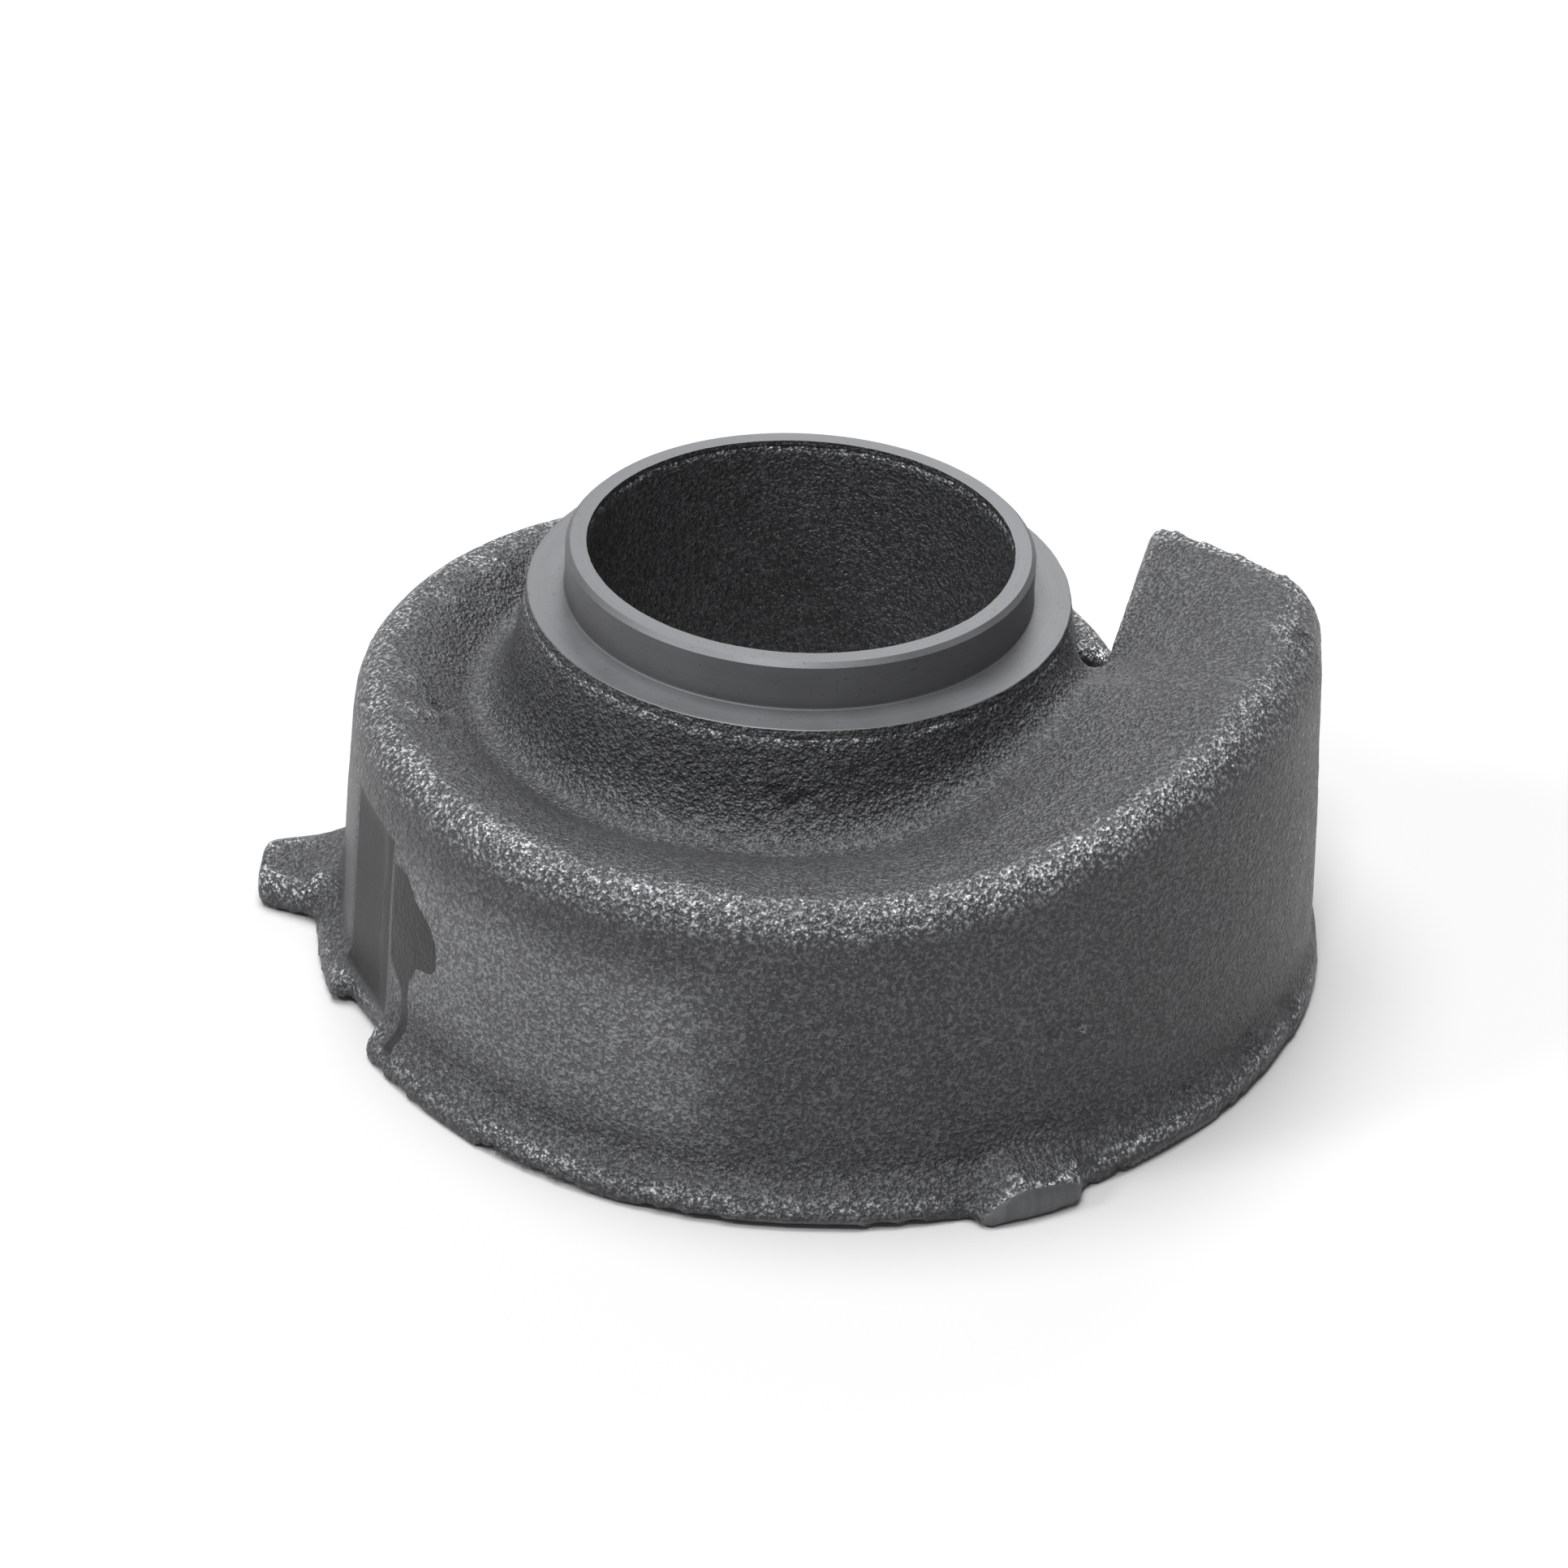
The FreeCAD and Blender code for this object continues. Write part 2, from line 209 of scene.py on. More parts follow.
# cast shell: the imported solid, given the uneven skin of a sand casting
shell = {
    "voxel": 1.4 * mm,
    "innerShare": 0.2,
    "sightLength": 0.16,
    "skyward": 1.2,
    "flatBase": 0.3 * mm,
    # inputs of the relief tree
    "relief": {
        "Wave Size": 34.0 * mm,
        "Wave Depth": 0.22 * mm,
        "Lump Size": 7.0 * mm,
        "Lump Depth": 0.13 * mm,
        "Pit Size": 3.0 * mm,
        "Pit Depth": 0.12 * mm,
        "Seed": 7.0,
        "Softening": 3,
        "Edge Reach": 16,
    },
    "groundFade": 6.0,
    "underCapHeight": (79.0, 81.0),
    "underCapRadius": (60.0, 62.0),
    "underCapSoftening": 0.2,
    "scarGrain": 2.6 * mm,
    "scarRagged": 1.4,
    "scarCore": 0.2,
    # azimuth, radius, height, size and depth; a depth below zero stands out
    "scars": [
        (-93.2, 61.0, 68.5, 2.0, 1.1), (-89.6, 61.2, 66.8, 2.6, 1.2), (-87.6, 61.0, 67.8, 1.8, 1.0),
        (-90.5, 61.6, 64.6, 1.6, 0.6), (-60.2, 111.0, 37.8, 2.6, 0.7), (-56.4, 111.0, 36.4, 2.4, -0.6),
        (-41.0, 113.5, 9.2, 2.4, 0.9), (-60.4, 112.0, 15.6, 2.0, 0.8), (-21.0, 116.5, 7.0, 5.0, 0.8),
        (-7.0, 107.5, 84.0, 3.6, 0.8), (-30.0, 114.5, 9.5, 4.0, 0.7),
    ],
    # the valley and the two ridges of the left lug
    "lugRelief": [
        (-179.4, 114.4, 8.2, 3.0, 0.8), (-178.0, 111.7, 8.6, 3.0, 1.0), (-176.2, 108.8, 9.3, 3.0, 1.0),
        (-174.2, 106.2, 9.9, 3.0, 0.8), (177.6, 113.0, 8.3, 3.2, -0.6), (178.2, 109.5, 9.0, 3.2, -0.6),
        (178.9, 106.0, 9.7, 3.2, -0.6), (-175.6, 113.5, 8.2, 2.6, -0.5), (-173.8, 109.5, 8.9, 2.6, -0.5),
    ],
    # worn swellings and hollows on the roof
    "swellings": [
        (150.0, 79.0, 61.0, 6.0, -0.6), (146.0, 75.0, 59.5, 2.6, 0.8), (163.0, 80.0, 62.0, 7.0, -0.5),
        (158.5, 75.5, 60.0, 3.0, 0.8), (-170.0, 82.5, 63.5, 5.5, -0.5), (-160.5, 83.0, 63.5, 6.5, -0.7),
        (-164.0, 77.5, 61.0, 3.2, 0.9),
    ],
    # ring cut out of the shell to seat the spigot cap: radius and height in millimetres
    "capCut": [(48.9, 80.8), (55.5, 80.8), (57.2, 82.1), (80.0, 82.1), (80.0, 110.0), (30.0, 110.0),
               (30.0, 92.6), (49.2, 92.6)],
    "capCutSegments": 256,
}


def linkNew(name, mesh):
    obj = bpy.data.objects.new(name, mesh)
    bpy.context.scene.collection.objects.link(obj)
    return obj


def ringPoint(turn, radius, height):
    return Vector((radius * math.cos(turn), radius * math.sin(turn), height)) * mm


def latheMesh(name, profile, segments, wobble=None):
    # a closed ring turned from a closed profile of (radius, height) in millimetres
    mesh = bpy.data.meshes.new(name)
    bm = bmesh.new()
    rings = []
    for step in range(segments):
        turn = 2.0 * math.pi * step / segments
        ring = []
        for index, (radius, height) in enumerate(profile):
            if wobble:
                radius, height = wobble(index, turn, radius, height)
            ring.append(bm.verts.new(ringPoint(turn, radius, height)))
        rings.append(ring)
    for step in range(segments):
        here, there = rings[step], rings[(step + 1) % segments]
        for index in range(len(profile)):
            after = (index + 1) % len(profile)
            bm.faces.new((here[index], there[index], there[after], here[after]))
    if bm.calc_volume(signed=True) < 0.0:
        bmesh.ops.reverse_faces(bm, faces=bm.faces)
    bm.to_mesh(mesh)
    bm.free()
    return mesh


def plainMesh(obj, name):
    # the evaluated object as a plain mesh, with the modifiers gone
    evaluated = obj.evaluated_get(bpy.context.evaluated_depsgraph_get())
    mesh = bpy.data.meshes.new_from_object(evaluated)
    obj.modifiers.clear()
    obj.data = mesh
    mesh.name = name


def blurred(tree, value, iterations, weight):
    node = addNode(tree, "GeometryNodeBlurAttribute", data_type="FLOAT_VECTOR")
    feed(tree, socketOf(node.inputs, "Value", "VECTOR"), value)
    feed(tree, node.inputs["Iterations"], iterations)
    feed(tree, node.inputs["Weight"], weight)
    return next(socket for socket in node.outputs if socket.enabled)


def reliefTree(material):
    tree = bpy.data.node_groups.new("castRelief", "GeometryNodeTree")
    face = tree.interface
    face.new_socket("Geometry", in_out="INPUT", socket_type="NodeSocketGeometry")
    for name, value in shell["relief"].items():
        kind = "NodeSocketInt" if isinstance(value, int) else "NodeSocketFloat"
        face.new_socket(name, in_out="INPUT", socket_type=kind)
    for name in ("Lowest", "Highest"):
        face.new_socket(name, in_out="INPUT", socket_type="NodeSocketVector")
    face.new_socket("Geometry", in_out="OUTPUT", socket_type="NodeSocketGeometry")
    given = addNode(tree, "NodeGroupInput").outputs

    # machined places and the seat of the cap keep their form
    position = addNode(tree, "GeometryNodeInputPosition").outputs[0]
    radius, height = roundPlace(tree, position)[1:]
    underCap = product(tree, ramp(tree, height, *shell["underCapHeight"]),
                       fall(tree, radius, *shell["underCapRadius"]))
    still = calc(tree, "MAXIMUM", groundMask(tree, position, 0.0, shell["groundFade"]), underCap)
    cast = calc(tree, "SUBTRACT", 1.0, still)
    softened = addNode(tree, "GeometryNodeSetPosition")
    feed(tree, softened.inputs["Geometry"], given["Geometry"])
    softening = mixOf(tree, underCap, 1.0, shell["underCapSoftening"])
    feed(tree, softened.inputs["Position"], blurred(tree, position, given["Softening"], softening))

    here = addNode(tree, "GeometryNodeInputPosition").outputs[0]
    normal = addNode(tree, "GeometryNodeInputNormal").outputs[0]
    seeded = vectorCalc(tree, "ADD", here, scaled(tree, (1.0, 1.0, 1.0), given["Seed"]))
    total = 0.0
    for name, detail in (("Wave", 1.0), ("Lump", 2.0), ("Pit", 2.0)):
        uneven = noiseOf(tree, seeded, calc(tree, "DIVIDE", 1.0, given[name + " Size"]), detail)
        centred = calc(tree, "SUBTRACT", uneven, 0.5)
        total = calc(tree, "ADD", total, product(tree, centred, 2.0, given[name + " Depth"]))
    rough = calc(tree, "SUBTRACT", noiseOf(tree, seeded, 1.0 / shell["scarGrain"]), 0.5)
    ragged = calc(tree, "MULTIPLY", rough, shell["scarRagged"])
    for turn, out, up, size, depth in shell["scars"] + shell["lugRelief"] + shell["swellings"]:
        centre = ringPoint(math.radians(turn), out, up)
        away = calc(tree, "DIVIDE", vectorCalc(tree, "DISTANCE", here, centre), size * mm)
        away = calc(tree, "ADD", away, ragged)
        total = calc(tree, "ADD", total, ramp(tree, away, shell["scarCore"], 1.0, -depth * mm, 0.0))
    moved = addNode(tree, "GeometryNodeSetPosition")
    feed(tree, moved.inputs["Geometry"], softened.outputs[0])
    feed(tree, moved.inputs["Offset"], scaled(tree, normal, calc(tree, "MULTIPLY", total, cast)))

    # how far the skin stands out from its own average, for the painted highlight on its edges
    average = blurred(tree, here, given["Edge Reach"], 1.0)
    stand = vectorCalc(tree, "DOT_PRODUCT", vectorCalc(tree, "SUBTRACT", here, average), normal)
    stored = addNode(tree, "GeometryNodeStoreNamedAttribute", data_type="FLOAT", domain="POINT")
    feed(tree, stored.inputs["Geometry"], moved.outputs[0])
    stored.inputs["Name"].default_value = "edgeStand"
    feed(tree, socketOf(stored.inputs, "Value", "VALUE"), calc(tree, "DIVIDE", stand, mm))

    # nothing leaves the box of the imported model
    kept = addNode(tree, "GeometryNodeSetPosition")
    placed = addNode(tree, "GeometryNodeInputPosition").outputs[0]
    raised = vectorCalc(tree, "MAXIMUM", placed, given["Lowest"])
    feed(tree, kept.inputs["Geometry"], stored.outputs[0])
    feed(tree, kept.inputs["Position"], vectorCalc(tree, "MINIMUM", raised, given["Highest"]))
    shade = addNode(tree, "GeometryNodeSetShadeSmooth")
    feed(tree, shade.inputs["Geometry"], kept.outputs[0])
    single = addNode(tree, "GeometryNodeRealizeInstances")
    feed(tree, single.inputs[0], shade.outputs[0])
    dressed = addNode(tree, "GeometryNodeSetMaterial")
    feed(tree, dressed.inputs["Geometry"], single.outputs[0])
    dressed.inputs["Material"].default_value = material
    feed(tree, addNode(tree, "NodeGroupOutput").inputs[0], dressed.outputs[0])
    return tree


def thinInside(obj):
    # what never sees daylight, and the flat base, keeps fewer faces than the outer skin
    mesh = obj.data
    tree = BVHTree.FromPolygons([v.co for v in mesh.vertices], [p.vertices for p in mesh.polygons])
    hidden = []
    for vertex in mesh.vertices:
        start = vertex.co + vertex.normal * mm
        upward = (vertex.normal + Vector((0.0, 0.0, shell["skyward"]))).normalized()
        blind = all(tree.ray_cast(start, way, shell["sightLength"])[0] for way in (vertex.normal, upward))
        if blind or vertex.co.z < shell["flatBase"]:
            hidden.append(vertex.index)
    inside = obj.vertex_groups.new(name="inside")
    inside.add(hidden, 1.0, "REPLACE")
    share = len(hidden) / len(mesh.vertices)
    thinner = obj.modifiers.new("thin", "DECIMATE")
    thinner.ratio = 1.0 - share * (1.0 - shell["innerShare"])
    thinner.vertex_group = inside.name
    thinner.vertex_group_factor = 1000.0  # the most the modifier takes, so the outer skin stays whole
    plainMesh(obj, "castShell")
    obj.vertex_groups.clear()


def makeShell(material):
    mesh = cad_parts["volute_casing"].data.copy()
    bm = bmesh.new()
    bm.from_mesh(mesh)
    bmesh.ops.remove_doubles(bm, verts=bm.verts, dist=1e-6)
    bm.to_mesh(mesh)
    bm.free()
    obj = linkNew("castShell", mesh)
    cutter = linkNew("capCutter", latheMesh("capCutter", shell["capCut"], shell["capCutSegments"]))
    opened = obj.modifiers.new("seat", "BOOLEAN")
    opened.operation = "DIFFERENCE"
    opened.object = cutter
    opened.solver = "EXACT"
    skin = obj.modifiers.new("skin", "REMESH")
    skin.mode = "VOXEL"
    skin.voxel_size = shell["voxel"]
    plainMesh(obj, "castShell")
    bpy.data.objects.remove(cutter)
    print("shell remeshed:", len(obj.data.polygons), "faces")
    thinInside(obj)
    print("inside thinned:", len(obj.data.polygons), "faces")

    tree = reliefTree(material)
    relief = obj.modifiers.new("relief", "NODES")
    relief.node_group = tree
    values = dict(shell["relief"], Lowest=list(cadBox[0]), Highest=list(cadBox[1]))
    for item in tree.interface.items_tree:
        if item.in_out == "INPUT" and item.name in values:
            relief[item.identifier] = values[item.name]
    plainMesh(obj, "castShell")
    return obj


# spigot cap: the turned rim, chamfer, spigot side and shoulder
cap = {
    "segments": 420,
    # radius and height in millimetres: rim, chamfer, side, fillet, shoulder, then the cast faces
    "profile": [(45.5, 93.3), (49.0, 93.3), (50.0, 92.3), (50.0, 82.85), (50.1, 82.6), (50.35, 82.5),
                (57.95, 82.5), (58.12, 82.35), (58.44, 80.6), (56.4, 79.8), (48.5, 79.8), (48.5, 91.6),
                (45.9, 91.4), (45.52, 92.2)],
    "castFrom": 7,
    "castEdge": 0.14,
    # profile points that wander, the pace and share of each wave, and a lean inwards or outwards
    "wander": [((6, 7, 8), [(9.0, 1.0), (37.0, 0.6)], -0.3), ((0, 12, 13), [(11.0, 0.5), (43.0, 0.5)], 0.2)],
    "sharpAngle": 12.0,
}


def capWobble(index, turn, radius, height):
    # the turned faces are true, and the cast edges next to them wander a little
    around = Vector((math.cos(turn), math.sin(turn), 0.0))
    for points, waves, lean in cap["wander"]:
        if index in points:
            wave = sum(share * noise.noise(around * pace) for pace, share in waves)
            radius += cap["castEdge"] * (wave + lean)
    return radius, height


def makeCap(machined, cast):
    top = cadBox[1][2] / mm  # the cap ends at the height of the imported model
    profile = [(radius, min(height, top)) for radius, height in cap["profile"]]
    mesh = latheMesh("spigotCap", profile, cap["segments"], capWobble)
    obj = linkNew("spigotCap", mesh)
    mesh.materials.append(machined)
    mesh.materials.append(cast)
    for face in mesh.polygons:
        face.material_index = 1 if face.index % len(profile) >= cap["castFrom"] else 0
    bm = bmesh.new()
    bm.from_mesh(mesh)
    for edge in bm.edges:
        edge.smooth = edge.calc_face_angle(0.0) < math.radians(cap["sharpAngle"])
    for face in bm.faces:
        face.smooth = True
    bm.to_mesh(mesh)
    bm.free()
    return obj


grit = {
    "blobShare": 1.3,
    "pitShare": -0.45,
    "pitSmoothness": 0.35,
    "facetPace": 1.6,
    "glint": (0.86, 0.97),
}


def grainGroup():
    # blast-cleaned skin: blobs, pits and sparkling facets, in millimetres
    tree = bpy.data.node_groups.new("castGrain", "ShaderNodeTree")
    face = tree.interface
    for name, value in (("Blob Size", 1.0), ("Pit Size", 0.5), ("Patch Size", 30.0)):
        face.new_socket(name, in_out="INPUT", socket_type="NodeSocketFloat").default_value = value
    for name in ("Height", "Patch", "Glint"):
        face.new_socket(name, in_out="OUTPUT", socket_type="NodeSocketFloat")
    given = addNode(tree, "NodeGroupInput").outputs
    inMm = scaled(tree, addNode(tree, "ShaderNodeTexCoord").outputs["Object"], 1.0 / mm)
    blobs = noiseOf(tree, inMm, calc(tree, "DIVIDE", 1.0, given["Blob Size"]), 2.5, 0.6)
    cells = addNode(tree, "ShaderNodeTexVoronoi", feature="SMOOTH_F1")
    feed(tree, cells.inputs["Vector"], inMm)
    feed(tree, cells.inputs["Scale"], calc(tree, "DIVIDE", 1.0, given["Pit Size"]))
    cells.inputs["Smoothness"].default_value = grit["pitSmoothness"]
    pits = calc(tree, "MULTIPLY", cells.outputs["Distance"], grit["pitShare"])
    height = calc(tree, "ADD", calc(tree, "MULTIPLY", blobs, grit["blobShare"]), pits)
    patch = noiseOf(tree, inMm, calc(tree, "DIVIDE", 1.0, given["Patch Size"]), 4.0, 0.55)
    facets = addNode(tree, "ShaderNodeTexVoronoi", feature="F1")
    feed(tree, facets.inputs["Vector"], inMm)
    feed(tree, facets.inputs["Scale"], calc(tree, "DIVIDE", grit["facetPace"], given["Blob Size"]))
    tint = addNode(tree, "ShaderNodeSeparateXYZ")
    feed(tree, tint.inputs[0], facets.outputs["Color"])
    glint = ramp(tree, tint.outputs[0], *grit["glint"])
    leave = addNode(tree, "NodeGroupOutput")
    for socket, value in zip(leave.inputs, (height, patch, glint)):
        feed(tree, socket, value)
    return tree


def grainOutputs(tree, grain, blobSize, pitSize, patchSize):
    group = addNode(tree, "ShaderNodeGroup", node_tree=grain)
    for name, value in (("Blob Size", blobSize), ("Pit Size", pitSize), ("Patch Size", patchSize)):
        group.inputs[name].default_value = value
    return group.outputs


def startMaterial(name):
    material = bpy.data.materials.new(name)
    material.use_nodes = True
    tree = material.node_tree
    return material, tree, tree.nodes["Principled BSDF"]


def greyColour(tree, value, tint):
    node = addNode(tree, "ShaderNodeCombineColor")
    for socket, factor in zip(node.inputs, tint):
        feed(tree, socket, calc(tree, "MULTIPLY", value, factor))
    return node.outputs[0]


# marks on the outer wall, with azimuths in degrees and heights in millimetres
marks = {
    "wallRadius": (96.0, 99.0),
    "wanderSize": 5.0 * mm,
    "wander": 1.6,
    "fieldAzimuth": [(-150.0, -140.0), (-103.0, -92.0)],
    "fieldHeight": [(8.0, 24.0), (44.0, 58.0)],
    "fieldWander": 5.0,
    "stainStart": (-144.6, -144.0),
    "stainStep": 3.6,
    "stainStepHeight": (17.0, 26.0),
    "stainHeight": (5.0, 47.0, 1.0),
    "stainFrom": -145.6,
    "stainReach": 18.0,
    "stainSpan": 55.0,
    "stainWander": 1.1,
    "stainSoft": 0.12,
    # share of the reach at each share of the span, from the foot up
    "stainOutline": [(0.0, 0.34), (0.12, 0.36), (0.40, 0.37), (0.48, 0.44), (0.53, 0.62), (0.62, 0.66),
                     (0.80, 0.36), (1.0, 0.05)],
    "columnAzimuth": (-165.5, -158.6, 1.0),
    "columnHeight": (12.0, 46.0, 4.0),
    "ridgeAzimuth": (-144.5, -143.9, 0.2),
    "ridgeHeight": (9.0, 46.0, 3.0),
}


def lighterField(tree, azimuth, height, wander):
    # a field on the front left of the wall whose colour is made brighter, with a wandering edge
    back, front = marks["fieldAzimuth"]
    foot, top = marks["fieldHeight"]
    wavering = calc(tree, "ADD", azimuth, calc(tree, "MULTIPLY", wander, marks["fieldWander"]))
    return product(tree, fall(tree, wavering, *front), ramp(tree, azimuth, *back),
                   ramp(tree, height, *foot), fall(tree, height, *top))


def smoothStain(tree, azimuth, height, wander):
    # a smooth dark stain beside the ground gate
    outline = addNode(tree, "ShaderNodeFloatCurve")
    points = outline.mapping.curves[0].points
    first, *middle, last = marks["stainOutline"]
    for x, y in middle:
        points.new(x, y)
    points[0].location = first
    points[len(points) - 1].location = last
    outline.mapping.update()
    feed(tree, outline.inputs["Value"], calc(tree, "DIVIDE", height, marks["stainSpan"]))
    reach = calc(tree, "MULTIPLY", outline.outputs[0], marks["stainReach"])
    ragged = calc(tree, "ADD", reach, calc(tree, "MULTIPLY", wander, marks["stainWander"]))
    over = calc(tree, "SUBTRACT", azimuth, calc(tree, "ADD", ragged, marks["stainFrom"]))
    step = ramp(tree, calc(tree, "ADD", height, wander), *marks["stainStepHeight"], marks["stainStep"], 0.0)
    near = calc(tree, "SUBTRACT", azimuth, step)
    return product(tree, fall(tree, over, -marks["stainSoft"], marks["stainSoft"]),
                   ramp(tree, near, *marks["stainStart"]), between(tree, height, *marks["stainHeight"]))


iron = {
    "tone": 0.078,
    "tint": (0.975, 0.995, 1.03),
    "metal": 0.25,
    # metal on the edges that carry the painted highlight
    "edgeHighlightMetal": 0.6,
    "specular": 0.35,
    "patchTone": (0.8, 1.2),
    # grain height from and to, and the gain on the tone there
    "grainTone": (0.28, 0.72, 0.55, 1.45),
    "fieldGain": 2.1,
    # painted highlight on edges that stand out: where it starts and is full, the heights it shows at, its
    # gain on the tone, and the glints and sparkle that vary it
    "edgeHighlight": (0.2, 0.95),
    "edgeHighlightHeight": (2.5, 8.0),
    "edgeHighlightGain": 3.6,
    "glintShare": 0.35,
    "sparkle": (0.35, 0.95, 0.2, 2.2),
    "blobSize": 1.05,
    "pitSize": 0.7,
    "patchSize": 26.0,
    "coarseSize": 3.2 * mm,
    "coarseShare": 0.8,
    "bump": 0.75 * mm,
    "smoothBump": 0.12,
    "roughness": 0.4,
    "roughnessSpread": 0.2,
    "smoothRoughness": 0.5,
    "glintRoughness": 0.2,
    "groundTone": 0.105,
    # painted shade: the ground gate strip is real, and its colour is set far darker than ground iron to
    # cancel the left softbox's reflection on it
    "gateShadedTone": 0.02,
    "streakSize": 1.3 * mm,
    "streakTone": (0.7, 1.3),
    "stainTone": 0.025,
    "stainSmooth": 0.8,
    "columnTone": 0.095,
    "columnSmooth": 0.75,
    "ridgeTone": 0.09,
}


def castIron(grain):
    material, tree, surface = startMaterial("castIron")
    place = addNode(tree, "ShaderNodeTexCoord").outputs["Object"]
    azimuth, radius, height = roundPlace(tree, place)
    skin, patch, glint = grainOutputs(tree, grain, iron["blobSize"], iron["pitSize"], iron["patchSize"])
    drift = calc(tree, "SUBTRACT", noiseOf(tree, place, 1.0 / marks["wanderSize"], 3.0), 0.5)
    wander = calc(tree, "MULTIPLY", drift, marks["wander"])
    wall = ramp(tree, radius, *marks["wallRadius"])
    still = groundMask(tree, place, wander, 1.0)
    field = calc(tree, "MULTIPLY", lighterField(tree, azimuth, height, wander), wall)
    stain = calc(tree, "MULTIPLY", smoothStain(tree, azimuth, height, wander), wall)
    # the as-cast column on one side of the ground gate, and the fine bright ridge on the other
    column = product(tree, between(tree, azimuth, *marks["columnAzimuth"]),
                     between(tree, height, *marks["columnHeight"]))
    ridge = product(tree, between(tree, azimuth, *marks["ridgeAzimuth"]),
                    between(tree, height, *marks["ridgeHeight"]), wall)

    low, high = iron["patchTone"]
    tone = mixOf(tree, patch, iron["tone"] * low, iron["tone"] * high)
    tone = calc(tree, "MULTIPLY", tone, ramp(tree, skin, *iron["grainTone"]))
    tone = mixOf(tree, field, tone, calc(tree, "MULTIPLY", tone, iron["fieldGain"]))
    # painted highlight: the edges that stand out are made brighter and sparkle in the colour, in place of the
    # lamps' highlights on the rounded edges
    stand = addNode(tree, "ShaderNodeAttribute", attribute_name="edgeStand").outputs["Fac"]
    edgeHighlight = product(tree, ramp(tree, stand, *iron["edgeHighlight"]), ramp(tree, height, *iron["edgeHighlightHeight"]))
    bright = calc(tree, "ADD", skin, calc(tree, "MULTIPLY", glint, iron["glintShare"]))
    gain = product(tree, edgeHighlight, iron["edgeHighlightGain"], ramp(tree, bright, *iron["sparkle"]))
    tone = calc(tree, "MULTIPLY", tone, calc(tree, "ADD", gain, 1.0))
    tone = mixOf(tree, stain, tone, iron["stainTone"])
    tone = mixOf(tree, column, tone, iron["columnTone"])
    streaks = noiseOf(tree, vectorCalc(tree, "MULTIPLY", place, (1.0, 1.0, 0.05)), 1.0 / iron["streakSize"])
    gate = gateMask(tree, azimuth, radius, height, wander)
    # the ground gate's very dark colour is painted shade against the left softbox's reflection
    bare = mixOf(tree, gate, iron["groundTone"], iron["gateShadedTone"])
    tone = mixOf(tree, still, tone, calc(tree, "MULTIPLY", mixOf(tree, streaks, *iron["streakTone"]), bare))
    tone = mixOf(tree, ridge, tone, iron["ridgeTone"])
    feed(tree, surface.inputs["Base Color"], greyColour(tree, tone, iron["tint"]))

    smooth = largest(tree, still, calc(tree, "MULTIPLY", stain, iron["stainSmooth"]),
                     calc(tree, "MULTIPLY", column, iron["columnSmooth"]))
    spread = calc(tree, "MULTIPLY", calc(tree, "SUBTRACT", patch, 0.5), iron["roughnessSpread"])
    roughness = mixOf(tree, glint, calc(tree, "ADD", iron["roughness"], spread), iron["glintRoughness"])
    feed(tree, surface.inputs["Roughness"], mixOf(tree, smooth, roughness, iron["smoothRoughness"]))
    feed(tree, surface.inputs["Metallic"], mixOf(tree, edgeHighlight, iron["metal"], iron["edgeHighlightMetal"]))
    surface.inputs["Specular IOR Level"].default_value = iron["specular"]
    coarse = calc(tree, "MULTIPLY", noiseOf(tree, place, 1.0 / iron["coarseSize"]), iron["coarseShare"])
    bump = addNode(tree, "ShaderNodeBump")
    bump.inputs["Distance"].default_value = iron["bump"]
    feed(tree, bump.inputs["Strength"], mixOf(tree, smooth, 1.0, iron["smoothBump"]))
    feed(tree, bump.inputs["Height"], calc(tree, "ADD", skin, coarse))
    feed(tree, surface.inputs["Normal"], bump.outputs[0])
    return material


turned = {
    "tone": 0.125,
    "tint": (0.975, 0.995, 1.04),
    "metal": 0.5,
    "roughness": (0.4, 0.56),
    "blobSize": 1.6,
    "pitSize": 1.1,
    "patchSize": 12.0,
    "patchTone": (0.85, 1.15),
    "grooveSize": 0.32,
    "grooveTone": (0.85, 1.15),
    "grooveDrift": 0.01,
    "speckSize": 0.9 * mm,
    "speckFrom": (0.66, 0.74),
    "speckTone": 0.6,
    "bump": 0.006 * mm,
    "bumpStrength": 0.6,
    "skinShare": 0.3,
}


def turnedIron(grain):
    material, tree, surface = startMaterial("turnedIron")
    place = addNode(tree, "ShaderNodeTexCoord").outputs["Object"]
    azimuth, radius, height = roundPlace(tree, place)
    skin, patch = grainOutputs(tree, grain, turned["blobSize"], turned["pitSize"], turned["patchSize"])[:2]
    # tool marks run round the axis, so they follow radius and height and hardly the azimuth
    line = addNode(tree, "ShaderNodeCombineXYZ")
    drift = calc(tree, "MULTIPLY", azimuth, turned["grooveDrift"])
    for socket, value in zip(line.inputs, (radius, height, drift)):
        feed(tree, socket, value)
    grooves = noiseOf(tree, line.outputs[0], 1.0 / turned["grooveSize"], 2.0, 0.7)
    specks = ramp(tree, noiseOf(tree, place, 1.0 / turned["speckSize"]), *turned["speckFrom"])
    tone = calc(tree, "MULTIPLY", mixOf(tree, patch, *turned["patchTone"]), turned["tone"])
    tone = calc(tree, "MULTIPLY", tone, mixOf(tree, grooves, *turned["grooveTone"]))
    tone = calc(tree, "MULTIPLY", tone, mixOf(tree, specks, 1.0, turned["speckTone"]))
    feed(tree, surface.inputs["Base Color"], greyColour(tree, tone, turned["tint"]))
    surface.inputs["Metallic"].default_value = turned["metal"]
    feed(tree, surface.inputs["Roughness"], mixOf(tree, patch, *turned["roughness"]))
    bump = addNode(tree, "ShaderNodeBump")
    bump.inputs["Distance"].default_value = turned["bump"]
    bump.inputs["Strength"].default_value = turned["bumpStrength"]
    skinRelief = calc(tree, "MULTIPLY", skin, turned["skinShare"])
    feed(tree, bump.inputs["Height"], calc(tree, "ADD", grooves, skinRelief))
    feed(tree, surface.inputs["Normal"], bump.outputs[0])
    return material


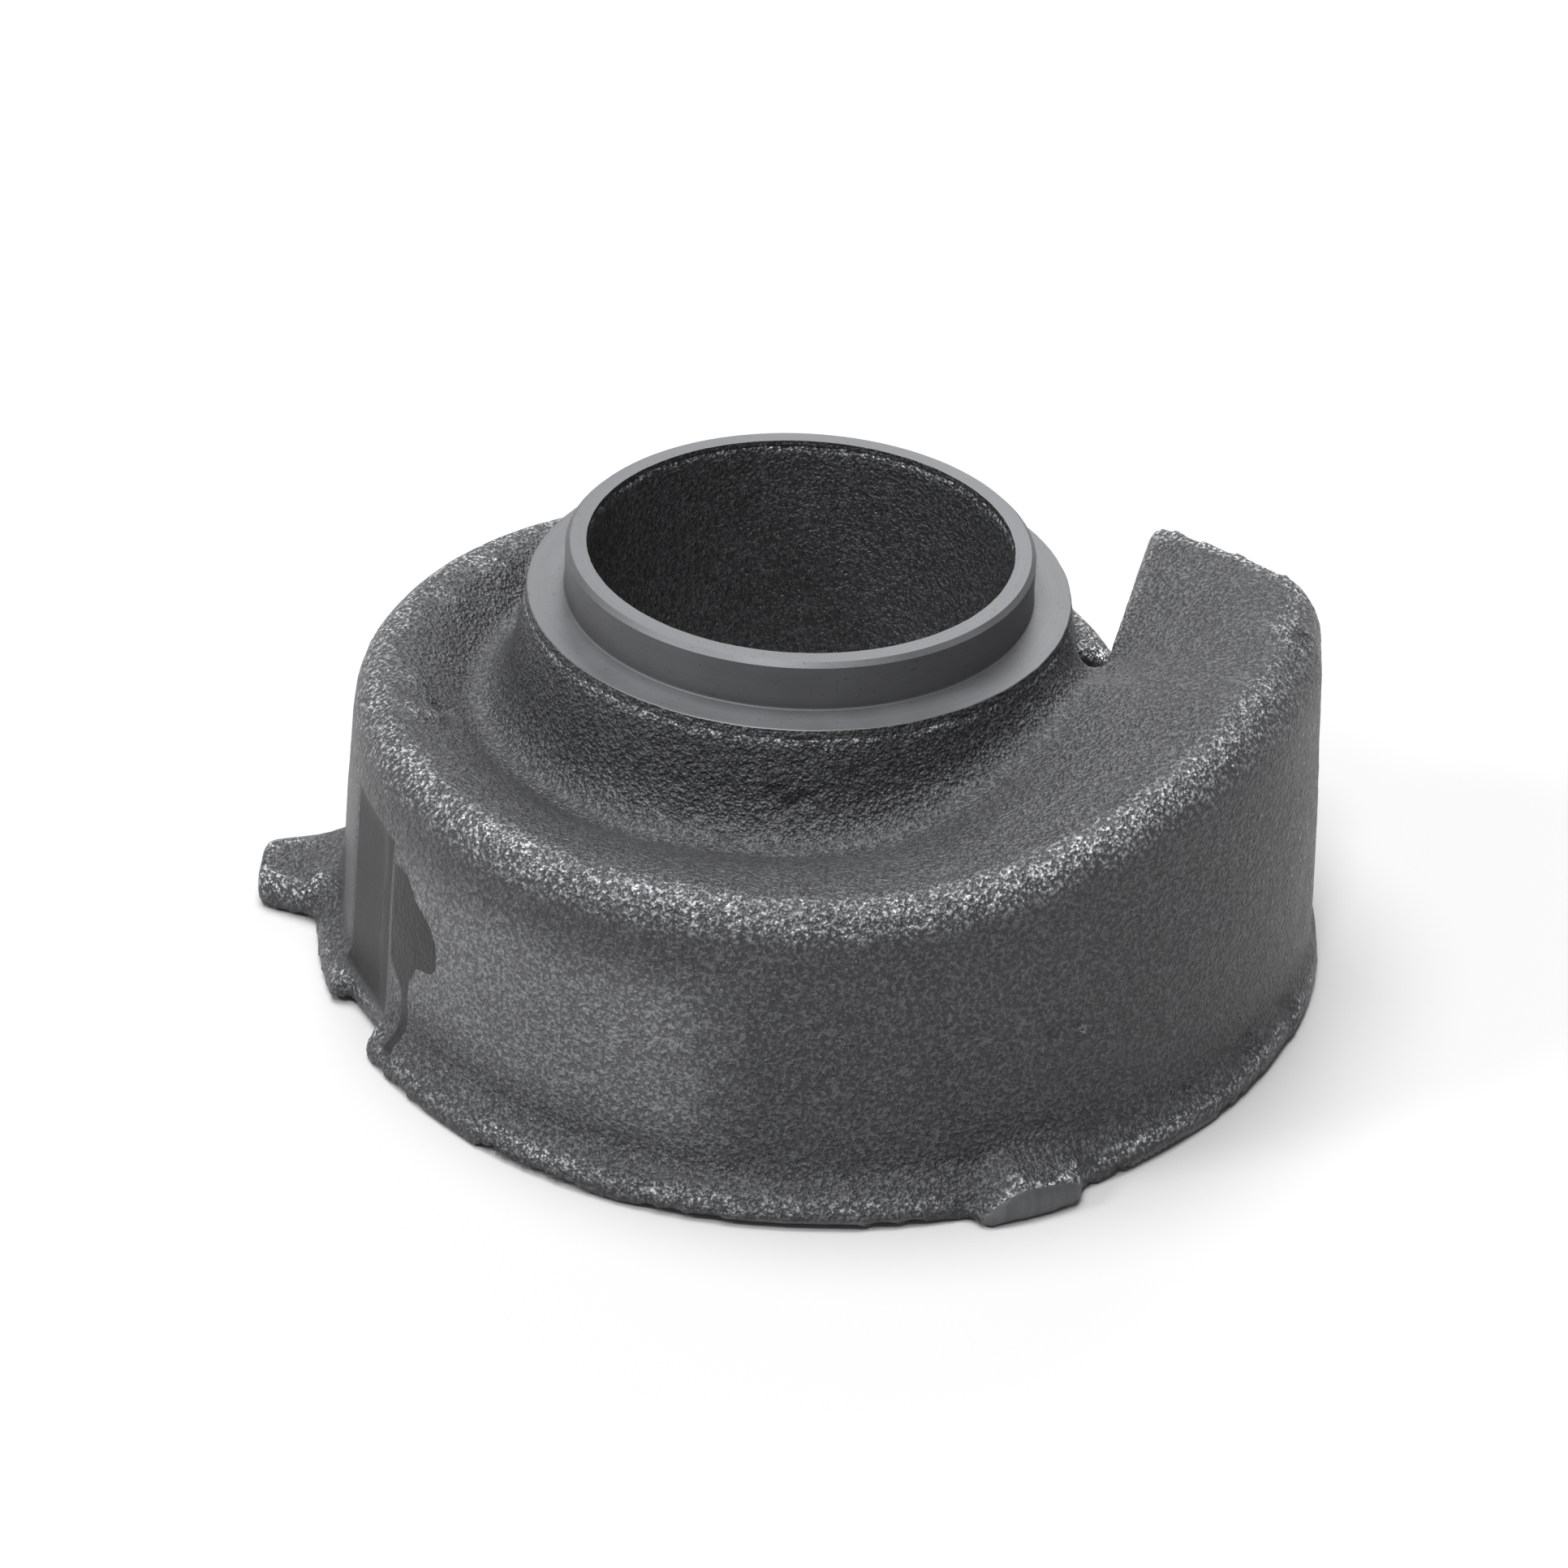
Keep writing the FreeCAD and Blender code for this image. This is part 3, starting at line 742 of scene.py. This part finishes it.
studio = {
    "floorTone": (0.49, 0.51),
    "floorCloud": 3.0,
    "floorRoughness": 0.9,
    "floorSize": 9.0,
    "world": 0.24,
    "aim": (0.0, 0.0, 0.04),
    # power, size and place of each softbox
    "lights": {
        "topSoftbox": (340.0, 3.6, (-0.6, 0.4, 5.0)),
        "frontSoftbox": (80.0, 0.8, (-0.58, -2.17, 3.9)),
        "leftSoftbox": (60.0, 0.9, (-3.33, -1.21, 2.77)),
        "backSoftbox": (75.0, 2.6, (0.6, 4.2, 2.8)),
    },
}


def makeFloor():
    size = studio["floorSize"]
    mesh = bpy.data.meshes.new("floor")
    corners = [(-size, -size, 0.0), (size, -size, 0.0), (size, size, 0.0), (-size, size, 0.0)]
    mesh.from_pydata(corners, [], [(0, 1, 2, 3)])
    floor = linkNew("floor", mesh)
    material, tree, surface = startMaterial("paleFloor")
    cloud = noiseOf(tree, addNode(tree, "ShaderNodeTexCoord").outputs["Object"], studio["floorCloud"])
    tone = mixOf(tree, cloud, *studio["floorTone"])
    feed(tree, surface.inputs["Base Color"], greyColour(tree, tone, (1.0, 1.0, 1.0)))
    surface.inputs["Roughness"].default_value = studio["floorRoughness"]
    mesh.materials.append(material)


def makeLight(name, power, size, place):
    data = bpy.data.lights.new(name, "AREA")
    data.energy = power
    data.shape = "DISK"
    data.size = size
    light = linkNew(name, data)
    light.location = place
    light.rotation_euler = (Vector(studio["aim"]) - Vector(place)).to_track_quat("-Z", "Y").to_euler()


def makeWorld():
    world = bpy.data.worlds.new("studioAir")
    bpy.context.scene.world = world
    world.use_nodes = True
    sky = world.node_tree.nodes["Background"]
    sky.inputs["Color"].default_value = (1.0, 1.0, 1.0, 1.0)
    sky.inputs["Strength"].default_value = studio["world"]


# place in metres, angles in degrees, lens and sensor in millimetres
view = {
    "place": (0.0, -0.8698, 0.5854),
    "turn": 0.09,
    "tilt": 32.44,
    "roll": 2.54,
    "lens": 108.07,
    "sensor": 36.0,
}


def makeCamera():
    data = bpy.data.cameras.new("camera")
    data.sensor_width = view["sensor"]
    data.lens = view["lens"]
    data.clip_start = 0.05
    data.clip_end = 50.0
    camera = linkNew("camera", data)
    turn = Matrix.Rotation(math.radians(view["turn"]), 4, "Z")
    tilt = Matrix.Rotation(math.radians(90.0 - view["tilt"]), 4, "X")
    roll = Matrix.Rotation(math.radians(view["roll"]), 4, "Z")
    camera.matrix_world = Matrix.Translation(view["place"]) @ turn @ tilt @ roll
    bpy.context.scene.camera = camera


makeCamera()
makeWorld()
makeFloor()
for name, (power, size, place) in studio["lights"].items():
    makeLight(name, power, size, place)
bpy.context.scene.view_settings.view_transform = "Standard"
print("studio ready")

grain = grainGroup()
cast = castIron(grain)
machined = turnedIron(grain)
print("finishes ready")

castShell = makeShell(cast)
print("cast shell ready")
spigotCap = makeCap(machined, cast)
print("spigot cap ready")

for piece in (castShell, spigotCap):
    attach(piece, "root")
    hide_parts("volute_casing")
